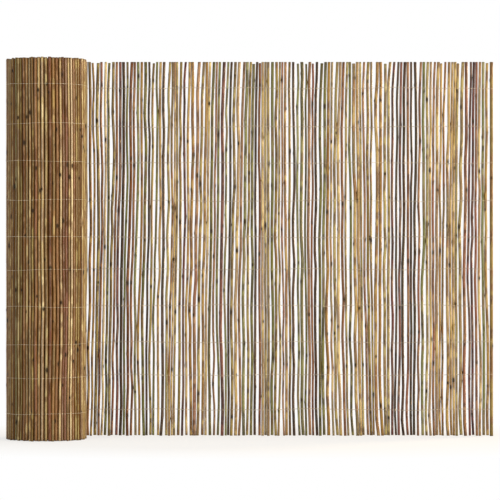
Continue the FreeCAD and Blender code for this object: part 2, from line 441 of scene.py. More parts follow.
@dataclass(frozen=True)
class SawnWood:
    """End grain of a thin rod, sawn across and left to dry: pale wood, a brown pith and a greenish rim.

    The eye sees small cream discs with a dot in the middle, dull and slightly furred by the saw.
    """

    name: str = "end_grain_sawn_wood"
    pith: str = "#6B4E2C"
    wood: str = "#CDB385"
    ring: str = "#B79A69"
    weathered: str = "#8F8163"
    rim: str = "#5E5430"
    dull_share: float = 0.65
    roughness: float = 0.82
    relief: float = 0.2 * MM
    saw_stroke: float = 0.5 * MM  # from stroke to stroke, twice as coarse as a real saw's, to show close up
    saw_length: float = 6 * MM

    def material(self) -> bpy.types.Material:
        """Build the end grain.

        Returns:
            The material. It reads the attribute across, which is 0 at the pith and 1 at the bark.
        """
        material, tree = new_material(self.name)
        place = add(tree, "TexCoord").outputs["Object"]
        across = add(tree, "Attribute", {"attribute_name": "across"}).outputs["Fac"]
        stops = [(0.0, self.pith), (0.14, self.pith), (0.2, self.wood), (0.55, self.wood), (0.6, self.ring),
                 (0.66, self.wood), (0.88, self.ring), (0.95, self.rim)]
        colour = add(tree, "ValToRGB", {"stops": [(p, linear(c)) for p, c in stops]}, {0: across}).outputs[0]
        scale = (1 / self.saw_stroke, 1 / self.saw_length, 1 / self.saw_stroke)
        stroke_place = add(tree, "Mapping", inputs={"Vector": place, "Scale": scale}).outputs[0]
        stroke = add(tree, "TexNoise", inputs={
            "Vector": stroke_place, "Scale": 1.0, "Detail": 3.0}).outputs[0]
        dull = add(tree, "MapRange", inputs={
            "Value": stroke, "From Min": 0.4, "From Max": 0.7,
            "To Min": 0.1, "To Max": self.dull_share}).outputs[0]
        colour = add(tree, "Mix", {"data_type": "RGBA"},
                     {MIX_SHARE: dull, MIX_A: colour, MIX_B: linear(self.weathered)}).outputs[MIX_RESULT]
        bump = add(tree, "Bump", inputs={
            "Height": stroke, "Distance": self.relief, "Strength": 0.7}).outputs[0]
        shader = add(tree, "BsdfPrincipled", inputs={
            "Base Color": colour, "Roughness": self.roughness, "Normal": bump})
        add(tree, "OutputMaterial", inputs={"Surface": shader.outputs[0]})
        return material


@dataclass(frozen=True)
class ZincWire:
    """Thin iron wire, galvanised and dulled outdoors.

    The eye sees a pale grey thread that glints where it bends over a rod, with duller, browner stretches.
    """

    name: str = "iron_wire_galvanised"
    bright: str = "#D8CCB2"
    dull: str = "#A0947C"
    bright_roughness: float = 0.42
    dull_roughness: float = 0.62
    patch: float = 7 * MM  # of duller zinc, drawn coarser than the real spangle, so that it shows
    relief: float = 0.05 * MM

    def material(self) -> bpy.types.Material:
        """Build the wire's zinc coat.

        Returns:
            The material.
        """
        material, tree = new_material(self.name)
        place = add(tree, "TexCoord").outputs["Object"]
        patch = add(tree, "TexNoise", inputs={
            "Vector": place, "Scale": 1 / self.patch, "Detail": 3.0}).outputs[0]
        worn = add(tree, "MapRange", inputs={"Value": patch, "From Min": 0.42, "From Max": 0.62}).outputs[0]
        colour = add(tree, "Mix", {"data_type": "RGBA"}, {
            MIX_SHARE: worn, MIX_A: linear(self.bright), MIX_B: linear(self.dull)}).outputs[MIX_RESULT]
        rough = add(tree, "MapRange", inputs={
            "Value": worn, "To Min": self.bright_roughness, "To Max": self.dull_roughness}).outputs[0]
        bump = add(tree, "Bump", inputs={
            "Height": patch, "Distance": self.relief, "Strength": 0.5}).outputs[0]
        shader = add(tree, "BsdfPrincipled", inputs={
            "Base Color": colour, "Roughness": rough, "Metallic": 1.0, "Normal": bump})
        add(tree, "OutputMaterial", inputs={"Surface": shader.outputs[0]})
        return material


class Kind(Enum):
    """The kinds of bark, by the name that the CAD nodes and material slots use."""

    OLIVE = "olive"
    GREEN = "green"
    TAN = "tan"
    GOLDEN = "golden"
    RUSSET = "russet"
    PLUM = "plum"
    CHARCOAL = "charcoal"


BARKS = {
    Kind.OLIVE: Bark(
        "bark_olive_dried",
        runs=("#6C5E44", "#8B7C48", "#605034", "#958A56", "#7A6444", "#7C7246"),
        stain="#33261A",
        bloom="#B8AD80",
    ),
    Kind.GREEN: Bark(
        "bark_green_dried",
        runs=("#5B5A3E", "#6E7242", "#464632", "#7F7F57", "#6A5C42", "#636A42"),
        stain="#2A291E",
        bloom="#A4A37C",
    ),
    Kind.TAN: Bark(
        "bark_tan_dried",
        runs=("#A89676", "#BEAC78", "#927E5A", "#CABA86", "#A6945E", "#8E7C64"),
        stain="#57412A",
        bloom="#DCCFA6",
    ),
    Kind.GOLDEN: Bark(
        "bark_ochre_dried",
        runs=("#8B7044", "#A08850", "#755E44", "#AC9866", "#846442", "#70644A"),
        stain="#3E281A",
        bloom="#CDB680",
    ),
    Kind.RUSSET: Bark(
        "bark_red_brown_dried",
        runs=("#664832", "#7C583C", "#6E5242", "#8A684C", "#5A3A2E", "#7A4E3E"),
        stain="#2C160E",
        bloom="#B08E6C",
    ),
    Kind.PLUM: Bark(
        "bark_plum_dried",
        runs=("#34202A", "#562A2E", "#563E3C", "#6A5248", "#3A2028", "#643634"),
        stain="#180C10",
        bloom="#8A7266",
    ),
    Kind.CHARCOAL: Bark(
        "bark_dark_brown_dried",
        runs=("#22191B", "#362723", "#46362F", "#282020", "#3E2F28", "#2E2A26"),
        stain="#120C0C",
        bloom="#6A5A52",
    ),
}


@dataclass(frozen=True)
class Knot:
    """A knot: its height, the line of the mesh up the rod that it lies on, and its size, where 1 is usual."""

    height: float
    line: int
    size: float


@dataclass
class Rod:
    """One rod, given by sections from its foot to its top, all in metres.

    A section is a height, the centre's x and y, and the thickness there. On top of that the rod wanders a
    little, with a bend at each knot and between them.
    """

    kind: Kind
    sections: list[tuple[float, float, float, float]]
    draw: random.Random
    room: float = 0.0  # most that its own bends add to either side
    paleness: tuple[float, float] = (0.0, 0.65)  # range of its paleness, from 0, darkest, to 1
    outward: float | None = None  # angle of the direction out of the roll, for a rod that is rolled up
    sides: int = 12
    ring_step: float = 26 * MM
    knotted: bool = True
    knot_margin: float = 30 * MM  # from a saw cut
    least_knot_step: float = 90 * MM
    most_knot_step: float = 250 * MM
    longest_straight: float = 85 * MM
    knot_turn: int = 5  # lines of the mesh from one knot to the next, 150 degrees
    knot_rings: tuple[float, ...] = (-9.0, -5.0, -2.5, 0.0, 2.0, 4.0, 8.0)  # millimetres up from a usual knot
    knot_clear: float = 14 * MM  # where they take the place of the evenly spread rings
    knot_rise: float = 0.75 * MM
    knot_reach: tuple[float, float] = (2.0 * MM, 3.6 * MM)  # of that rise, round the rod and along it
    no_knot: tuple[float, float] = (20 * MM, 100 * MM)  # distances that a point gets where no knot is near
    swelling: float = 0.05  # of the whole rod at a knot, as a share of its radius
    swelling_reach: float = 7 * MM
    out_of_round: float = 0.012
    ease: float = 40 * MM  # half of the stretch over which a bend of the CAD rod is rounded
    kink: float = 14 * MM  # and over which one of its own bends is
    depth_room: float = 0.35 * MM  # most that they add to the front or back
    saw_edge: float = 0.35 * MM
    saw_rim: float = 0.93  # radius of the cut face, as a share of the rod's
    unshaded_crest: float = 0.9  # share of the painted crevice shade that the outward side of a rolled rod is free of
    chance: tuple[float, float, float] = field(init=False)
    first_angle: float = field(init=False)
    foot: float = field(init=False)
    top: float = field(init=False)
    knots: list[Knot] = field(init=False)
    bend_heights: list[float] = field(init=False)
    bend_x: list[float] = field(init=False)
    bend_y: list[float] = field(init=False)
    phases: list[float] = field(init=False)

    def __post_init__(self) -> None:
        """Draw the rod's own luck: its knots, its wander and its numbers for the bark."""
        draw = self.draw
        self.chance = (draw.random(), draw.uniform(*self.paleness), draw.random())
        self.first_angle = draw.uniform(0.0, math.tau)
        self.foot = self.sections[0][0]
        self.top = self.sections[-1][0]
        self.knots = []
        height = self.foot + draw.uniform(self.knot_margin, self.most_knot_step)
        line = draw.randrange(self.sides)
        while self.knotted and height < self.top - self.knot_margin:
            self.knots.append(Knot(height, line % self.sides, draw.uniform(0.65, 1.3)))
            height += draw.uniform(self.least_knot_step, self.most_knot_step)
            line += self.knot_turn + draw.choice((-1, 0, 0, 1))
        self.bend_heights = [self.foot]
        for height in [k.height for k in self.knots] + [self.top]:
            if height - self.bend_heights[-1] > self.longest_straight:
                self.bend_heights.append((height + self.bend_heights[-1]) / 2)
            self.bend_heights.append(height)
        self.bend_x = [draw.uniform(-self.room, self.room) for _ in self.bend_heights]
        self.bend_y = [draw.uniform(-self.depth_room, self.depth_room) for _ in self.bend_heights]
        self.phases = [draw.uniform(0.0, math.tau) for _ in range(4)]  # two in use and two to spare

    def eased(self, z: np.ndarray, heights: list[float], values: list[float], ease: float) -> np.ndarray:
        """Values at some heights, on straight lines with rounded corners.

        Args:
            z: heights asked for.
            heights: heights of the corners, rising.
            values: value at each corner.
            ease: half of the stretch over which a corner is rounded.

        Returns:
            The value at each height of z.
        """
        corners, reached = np.array(heights), np.array(values)
        start = (reached[1] - reached[0]) / (corners[1] - corners[0])
        end = (reached[-1] - reached[-2]) / (corners[-1] - corners[-2])
        corners = np.concatenate(([corners[0] - 1.0], corners, [corners[-1] + 1.0]))
        reached = np.concatenate(([reached[0] - start], reached, [reached[-1] + end]))
        shifts = np.linspace(-ease, ease, 9)
        return np.mean([np.interp(z + s, corners, reached) for s in shifts], axis=0)

    def centre(self, z: np.ndarray) -> np.ndarray:
        """Centre of the rod at some heights.

        Args:
            z: heights.

        Returns:
            One row of x and y for each height.
        """
        heights = [s[0] for s in self.sections]
        x = self.eased(z, heights, [s[1] for s in self.sections], self.ease)
        y = self.eased(z, heights, [s[2] for s in self.sections], self.ease)
        x += self.eased(z, self.bend_heights, self.bend_x, self.kink)
        y += self.eased(z, self.bend_heights, self.bend_y, self.kink)
        return np.stack((x, y), axis=1)

    def radius(self, z: np.ndarray) -> np.ndarray:
        """Radius of the rod at some heights, without its knots."""
        return np.interp(z, [s[0] for s in self.sections], [s[3] / 2 for s in self.sections])

    def ring_heights(self) -> np.ndarray:
        """Heights of the mesh's rings: evenly spread, and closer together at each knot and saw cut.

        Returns:
            The heights, rising.
        """
        count = max(2, round((self.top - self.foot) / self.ring_step))
        even = np.linspace(self.foot, self.top, count + 1)[1:-1]
        even = [z for z in even if all(abs(z - k.height) > self.knot_clear for k in self.knots)]
        close = [k.height + s * k.size * MM for k in self.knots for s in self.knot_rings]
        ends = [self.foot, self.foot + self.saw_edge, self.top - self.saw_edge, self.top]
        return np.array(sorted(even + close + ends))

    def outline(self, z: np.ndarray, angle: np.ndarray) -> tuple[np.ndarray, np.ndarray, np.ndarray]:
        """Surface of the rod, with its knots and its saw cuts.

        Args:
            z: heights of the mesh's rings.
            angle: angle of each line of the mesh.

        Returns:
            Three tables with a row for each height and a column for each line: the radius, and how far the
            nearest knot is round the rod and along it.
        """
        plain = self.radius(z)[:, None]
        oval = np.sin(2 * angle + self.phases[0] + 9 * z[:, None])
        lobes = np.sin(3 * angle + self.phases[1] - 14 * z[:, None])
        radius = plain * np.ones(self.sides)
        radius *= 1 + self.out_of_round * (oval + lobes)
        beside = np.full(radius.shape, self.no_knot[0])
        above = np.full(radius.shape, self.no_knot[1])
        for knot in self.knots:
            steps = np.abs((np.arange(self.sides) - knot.line + self.sides / 2) % self.sides - self.sides / 2)
            around = steps[None, :] * (math.tau / self.sides) * plain / knot.size
            up = (z[:, None] - knot.height) / knot.size * np.ones(self.sides)
            nearer = np.abs(up) < above
            above = np.where(nearer, np.abs(up), above)
            beside = np.where(nearer, around, beside)
            radius *= 1 + self.swelling * np.exp(-((up / self.swelling_reach) ** 2))
            rise = np.exp(-((around / self.knot_reach[0]) ** 2) - ((up / self.knot_reach[1]) ** 2))
            radius += knot.size * self.knot_rise * rise
        radius[0] *= self.saw_rim
        radius[-1] *= self.saw_rim
        return radius, beside, above


class Sheaf:
    """Rods gathered into one mesh, with bark on their sides and bare wood at their cut ends."""

    def __init__(self, kinds: list[Kind]) -> None:
        """Start an empty sheaf.

        Args:
            kinds: kinds of bark that it holds, in the order of its material slots. Bare wood comes last.
        """
        self.kinds = kinds
        self.count = 0
        self.points: list[np.ndarray] = []
        self.faces: list[tuple[int, ...]] = []
        self.slots: list[int] = []
        names = ("rod", "knot", "tip", "across", "deep", "flank")
        self.attributes: dict[str, list[np.ndarray]] = {name: [] for name in names}

    def add_rod(self, rod: Rod) -> None:
        """Add one rod: its rings of points and the middles of its two cut ends.

        Args:
            rod: the rod.
        """
        sides, z = rod.sides, rod.ring_heights()
        angle = rod.first_angle + math.tau / sides * np.arange(sides)
        radius, beside, above = rod.outline(z, angle)
        centre = rod.centre(z)
        x = centre[:, :1] + radius * np.cos(angle)
        y = centre[:, 1:] + radius * np.sin(angle)
        rings = np.stack((x, y, z[:, None] * np.ones(sides)), axis=2).reshape(-1, 3)
        caps = np.array([[*centre[0], z[0]], [*centre[-1], z[-1]]])
        self.points += [rings, caps]
        self.add_faces(rod, len(z))
        self.add_attributes(rod, z, angle, np.stack((beside.ravel(), above.ravel()), axis=1))
        self.count += len(rings) + len(caps)

    def add_faces(self, rod: Rod, rows: int) -> None:
        """Add the faces of one rod: quads on its side, and a fan of triangles on each cut end.

        Args:
            rod: the rod.
            rows: number of its rings.
        """
        first, sides = self.count, rod.sides
        grid = first + np.arange(rows * sides).reshape(rows, sides)
        beyond = np.roll(grid, -1, axis=1)
        quads = np.stack((grid[:-1], beyond[:-1], beyond[1:], grid[1:]), axis=2).reshape(-1, 4)
        foot, top = first + rows * sides, first + rows * sides + 1
        self.faces += [tuple(q) for q in quads.tolist()]
        self.faces += [(foot, b, a) for a, b in zip(grid[0].tolist(), beyond[0].tolist())]
        self.faces += [(top, a, b) for a, b in zip(grid[-1].tolist(), beyond[-1].tolist())]
        self.slots += [self.kinds.index(rod.kind)] * len(quads) + [len(self.kinds)] * (2 * sides)

    def add_attributes(self, rod: Rod, z: np.ndarray, angle: np.ndarray, knots: np.ndarray) -> None:
        """Note what the materials read at each point of one rod, last at the middles of its two cut ends.

        Args:
            rod: the rod.
            z: heights of its rings.
            angle: angle of each line of its mesh.
            knots: how far the nearest knot is from each point of its rings, round the rod and along it.
        """
        rows, middles = len(z), [0.0, 0.0]
        total = rows * rod.sides + len(middles)
        knots = np.concatenate((knots, np.array([rod.no_knot] * len(middles))))
        tip = np.minimum(z - z[0], z[-1] - z)[:, None] * np.ones(rod.sides)
        if rod.outward is None:
            deep, flank = np.zeros(rod.sides), np.abs(np.cos(angle))
        else:
            # deep carries painted shade: most on the sides that face the next rods of the roll, least on the
            # crests
            crest = np.abs(np.cos(angle - rod.outward))
            deep, flank = 1 - rod.unshaded_crest * crest, np.zeros(rod.sides)
        self.attributes["rod"].append(np.tile(rod.chance, (total, 1)))
        self.attributes["knot"].append(np.hstack((knots, np.zeros((total, 1)))))
        self.attributes["tip"].append(np.concatenate((tip.ravel(), middles)))
        self.attributes["across"].append(np.concatenate((np.ones(rows * rod.sides), middles)))
        self.attributes["deep"].append(np.concatenate((np.tile(deep, rows), middles)))
        self.attributes["flank"].append(np.concatenate((np.tile(flank, rows), middles)))

    def piece(self, name: str, dressings: dict[Kind, bpy.types.Material], wood: bpy.types.Material,
              slot: str, node: str) -> bpy.types.Object:
        """Make the Blender object, in place of a CAD node.

        Args:
            name: name of the object.
            dressings: bark of each kind.
            wood: material of the cut ends.
            slot: not used.
            node: CAD node that it stands for.

        Returns:
            The object.
        """
        mesh = bpy.data.meshes.new(name)
        mesh.from_pydata(np.concatenate(self.points).tolist(), [], self.faces)
        for kind in self.kinds:
            mesh.materials.append(dressings[kind])
        mesh.materials.append(wood)
        mesh.polygons.foreach_set("material_index", self.slots)
        mesh.polygons.foreach_set("use_smooth", [s < len(self.kinds) for s in self.slots])
        for attribute, parts in self.attributes.items():
            values = np.concatenate(parts).astype(np.float32)
            vector = values.ndim == 2
            layer = mesh.attributes.new(attribute, "FLOAT_VECTOR" if vector else "FLOAT", "POINT")
            layer.data.foreach_set("vector" if vector else "value", values.ravel())
        return settle(mesh, name, node)


def settle(mesh: bpy.types.Mesh, name: str, node: str) -> bpy.types.Object:
    """Turn a finished mesh into a piece of the panel.

    Args:
        mesh: the mesh, in place.
        name: name of the piece.
        node: CAD node that it stands for.

    Returns:
        The object.
    """
    mesh.update()
    piece = bpy.data.objects.new(name, mesh)
    bpy.context.scene.collection.objects.link(piece)
    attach(piece, "root")
    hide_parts(node)
    log.info("%s: %d faces in place of %s", name, len(mesh.polygons), node)
    return piece


@dataclass
class LooseRods:
    """The rods of the flat stretch, as the CAD lays them, one piece for each kind of bark."""

    seed: int = 7
    levels: int = 16  # heights at which the mat drifts sideways
    drift: float = 1.4 * MM  # usual sideways drift from where the CAD has a rod
    own_drift: float = 0.07  # share of its drift that a rod doesn't have from its neighbour
    least_bend: float = 0.2 * MM  # usual bend of a rod alone where its neighbours are close
    bend_share: float = 0.35  # of the gaps beside it that the rod's own bends add
    most_drift: float = 2.3 * MM
    least_gap: float = 0.12 * MM
    rods: list[Rod] = field(default_factory=list)

    def read(self, node: str) -> list[list[tuple[float, float, float, float]]]:
        """Read the rods of one CAD node.

        Args:
            node: name of the node.

        Returns:
            The sections of each rod, from its foot to its top.
        """
        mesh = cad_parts[node].data
        corners: dict[tuple[float, ...], int] = {}
        numbers = [corners.setdefault(tuple(round(c, 6) for c in v.co), len(corners)) for v in mesh.vertices]
        group = list(range(len(corners)))

        def root(i: int) -> int:
            """The corner that stands for all corners joined to this one."""
            while group[i] != i:
                group[i] = group[group[i]]
                i = group[i]
            return i

        for polygon in mesh.polygons:
            first, *others = [numbers[v] for v in polygon.vertices]
            for other in others:
                group[root(other)] = root(first)
        solids: dict[int, list[tuple[float, ...]]] = {}
        for corner, i in corners.items():
            solids.setdefault(root(i), []).append(corner)
        rods = []
        for solid in solids.values():
            points = np.array(solid)
            sections = []
            for level in np.unique(points[:, 2].round(5)):
                ring = points[np.abs(points[:, 2] - level) < 2e-5]
                low, high = ring.min(axis=0), ring.max(axis=0)
                middle = (low + high) / 2
                sections.append((float(level), float(middle[0]), float(middle[1]), float(high[0] - low[0])))
            rods.append(sections)
        return rods

    def side(self, rod: Rod, z: np.ndarray, direction: int) -> np.ndarray:
        """How far to the left (-1) or right (1) a rod reaches at some heights."""
        return rod.centre(z)[:, 0] + direction * rod.radius(z)

    def steady(self, draw: random.Random, heights: np.ndarray, amount: float) -> np.ndarray:
        """Draw a sideways drift at some heights that neither shifts nor leans a rod as a whole.

        Args:
            draw: source of the drift.
            heights: the heights.
            amount: usual size of the drift.

        Returns:
            The drift at each height.
        """
        drift = np.array([draw.gauss(0.0, amount) for _ in heights])
        return drift - np.polyval(np.polyfit(heights, drift, 1), heights)

    def wander(self, draw: random.Random) -> None:
        """Let the rods drift sideways at each level, mostly as their neighbours do, without touching them.

        The rod at the free end, round which the wires turn, stays straight.

        Args:
            draw: source of the drift.
        """
        top = self.rods[-1].top
        fine = np.linspace(0.0, top, 6 * self.levels)
        heights = np.linspace(0.0, top, self.levels)
        shared = self.steady(draw, heights, self.drift)
        fresh = self.drift * math.sqrt(self.own_drift * (2 - self.own_drift))
        limit = self.side(self.rods[-1], fine, -1) - self.least_gap
        done = self.side(self.rods[0], fine, -1) - self.least_gap
        least = []
        for rod, after in zip(self.rods, self.rods[1:]):
            rod.bend_x = [0.0] * len(rod.bend_heights)
            after.bend_x = [0.0] * len(after.bend_heights)
            left, right = self.side(rod, fine, -1), self.side(rod, fine, 1)
            beside = (left - done + self.side(after, fine, -1) - right) / 2
            shared = (1 - self.own_drift) * shared + self.steady(draw, heights, fresh)
            wanted = []
            for j, height in enumerate(rod.bend_heights):
                near = np.abs(fine - height) <= self.longest_step(rod, j)
                room = self.least_bend + self.bend_share * max(0.0, float(np.min(beside[near])))
                bend = np.interp(height, heights, shared) + room * rod.draw.gauss(0.0, 1.0)
                bend = min(max(bend, -self.most_drift), self.most_drift)
                lowest = np.max((done + self.least_gap - left)[near])
                highest = np.min((limit - right)[near])
                wanted.append(min(max(bend, lowest), highest))
            rod.bend_x = wanted
            least.append(float(np.min(self.side(rod, fine, -1) - done)))
            done = self.side(rod, fine, 1)
        moved = np.array([b for rod in self.rods for b in rod.bend_x])
        log.info("drift: usual %.2f mm, most %.2f mm", moved.std() / MM, np.abs(moved).max() / MM)
        log.info("least gap between loose rods %.2f mm", min(least) / MM)

    def longest_step(self, rod: Rod, number: int) -> float:
        """Distance from one of a rod's bends to the further of the bends next to it."""
        heights = rod.bend_heights[max(0, number - 1) : number + 2]
        return max(abs(h - rod.bend_heights[number]) for h in heights)

    def build(self, dressings: dict[Kind, bpy.types.Material], wood: bpy.types.Material) -> None:
        """Build the seven pieces.

        Args:
            dressings: bark of each kind.
            wood: material of the cut ends.
        """
        found = [(kind, sections) for kind in Kind for sections in self.read(kind.value + "_rods")]
        found.sort(key=lambda pair: pair[1][0][1])
        draw = random.Random(self.seed)
        self.rods = [Rod(kind, sections, random.Random(draw.random())) for kind, sections in found]
        self.wander(draw)
        for kind in Kind:
            sheaf = Sheaf([kind])
            for rod in self.rods:
                if rod.kind is kind:
                    sheaf.add_rod(rod)
            node = kind.value + "_rods"
            sheaf.piece(node.replace("_rods", "_bark_rods"), dressings, wood, kind.value + "_bark", node)


@dataclass
class RolledRods:
    """The rods that are still rolled up, on the spiral that the CAD's band follows.

    The first four sizes are those of the part's source.
    """

    half_rod: float = 4.5 * MM  # half the thickness of the thickest rod
    turn_gap: float = 3.0 * MM  # between two turns
    half_turns: float = 6.5
    run_in: float = 28 * MM  # length of mat that still lies close against the roll after leaving it
    thinnest: float = 6.0 * MM
    usual: float = 7.6 * MM
    thickest: float = 9.0 * MM
    most_taper: float = 0.07  # share of its thickness that a rod loses towards its thin end
    least_gap: float = 0.5 * MM
    most_gap: float = 2.2 * MM
    uneven_top: float = 3.2 * MM
    uneven_foot: float = 2.0 * MM
    seed: int = 4118
    room: float = 0.3 * MM
    levels: int = 9  # heights at which the outer turn's rods drift sideways
    drift: float = 2.1 * MM  # usual sideways drift from upright
    own_drift: float = 0.06  # share of its drift that a rod doesn't have from its neighbour
    most_own: float = 0.95 * MM
    paleness: tuple[float, float] = (0.46, 1.0)  # paler than the mat's, because the painted crevice shade darkens them again
    outer_sides: int = 12
    outer_step: float = 26 * MM
    inner_sides: int = 8
    inner_step: float = 110 * MM
    shares: tuple[int, ...] = (20, 5, 18, 20, 22, 8, 9)  # how often each kind comes, in the order of Kind
    rods: list[Rod] = field(default_factory=list)
    places: list[float] = field(default_factory=list)  # of the rods, as distances into the roll
    turn_radius: float = field(init=False)
    turn_pitch: float = field(init=False)
    middle_x: float = field(init=False)
    middle_y: float = field(init=False)
    height: float = field(init=False)
    length: float = field(init=False)

    def __post_init__(self) -> None:
        """Work the spiral out from the box of the CAD's roll."""
        low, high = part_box("rolled_turns")
        reach = (high.y - low.y) / 2
        self.turn_radius = reach - self.half_rod
        self.turn_pitch = 2 * self.half_rod + self.turn_gap
        self.middle_x = low.x + reach
        self.middle_y = (low.y + high.y) / 2
        self.height = high.z
        whole = int(self.half_turns)
        self.length = sum(math.pi * self.half_turn(i)[0] for i in range(whole))
        self.length += (self.half_turns - whole) * math.pi * self.half_turn(whole)[0]

    def half_turn(self, number: int) -> tuple[float, float]:
        """Radius and centre's y of one half turn, counted from the outermost."""
        radius = self.turn_radius - number * self.turn_pitch / 2
        return radius, self.middle_y - (number % 2) * self.turn_pitch / 2

    def place(self, distance: float) -> tuple[float, float, float]:
        """A place on the mat's middle line.

        Args:
            distance: how far it is into the roll, below 0 on the flat.

        Returns:
            Its x and y, and the angle of the direction that points out of the roll there.
        """
        if distance <= 0:
            return self.middle_x - distance, self.middle_y + self.turn_radius, math.pi / 2
        number = 0
        while distance > math.pi * self.half_turn(number)[0]:
            distance -= math.pi * self.half_turn(number)[0]
            number += 1
        radius, centre_y = self.half_turn(number)
        angle = math.pi / 2 + number * math.pi + distance / radius
        return self.middle_x + radius * math.cos(angle), centre_y + radius * math.sin(angle), angle

    def draw_rod(self, draw: random.Random, distance: float, size: float, outer: bool) -> tuple[Rod, float]:
        """Draw one rod of the roll.

        Args:
            draw: source of its kind, its ends and its taper.
            distance: how far it is into the roll.
            size: thickness of its thick end.
            outer: whether it lies in the outer turn, where it shows.

        Returns:
            The rod, and the angle of the direction that points out of the roll there.
        """
        x, y, outward = self.place(distance)
        foot = draw.uniform(0.0, self.uneven_foot)
        top = self.height - draw.uniform(0.0, self.uneven_top)
        taper = size * (1 - draw.uniform(0.0, self.most_taper))
        sizes = draw.choice(((size, taper), (taper, size)))
        sections = [(foot, x, y, sizes[0]), (top, x, y, sizes[1])]
        kind = draw.choices(list(Kind), self.shares)[0]
        rod = Rod(kind, sections, random.Random(draw.random()), room=self.room if outer else 0.0,
                  sides=self.outer_sides if outer else self.inner_sides,
                  ring_step=self.outer_step if outer else self.inner_step, knotted=outer,
                  outward=outward if distance > 0 else None, paleness=self.paleness)
        return rod, outward

    def build(self, dressings: dict[Kind, bpy.types.Material], wood: bpy.types.Material) -> None:
        """Build the outer turn and the inner turns, as two pieces.

        Args:
            dressings: bark of each kind.
            wood: material of the cut ends.
        """
        draw = random.Random(self.seed)
        outer_length = math.tau * self.turn_radius
        distance = -self.run_in
        sheaves = {True: Sheaf(list(Kind)), False: Sheaf(list(Kind))}
        heights = np.linspace(0.0, self.height, self.levels)
        shared = np.array([draw.gauss(0.0, self.drift) for _ in heights])
        fresh = self.drift * math.sqrt(self.own_drift * (2 - self.own_drift))
        while distance < self.length - self.thickest:
            size = draw.triangular(self.thinnest, self.thickest, self.usual)
            distance += size / 2
            outer = distance < outer_length
            rod, outward = self.draw_rod(draw, distance, size, outer)
            if outer:
                own = [draw.gauss(0.0, fresh) for _ in heights]
                shared = (1 - self.own_drift) * shared + np.clip(own, -self.most_own, self.most_own)
                aside = np.interp(rod.bend_heights, heights, shared)
                rod.bend_x = list(rod.bend_x - aside * math.sin(outward))
                rod.bend_y = list(rod.bend_y + aside * math.cos(outward))
            self.rods.append(rod)
            self.places.append(distance)
            sheaves[outer].add_rod(rod)
            distance += size / 2 + draw.uniform(self.least_gap, self.most_gap)
        sheaves[True].piece("rolled_outer_turn", dressings, wood, "rolled_bark", "rolled_turns")
        sheaves[False].piece("rolled_inner_turns", dressings, wood, "rolled_bark", "rolled_turns")


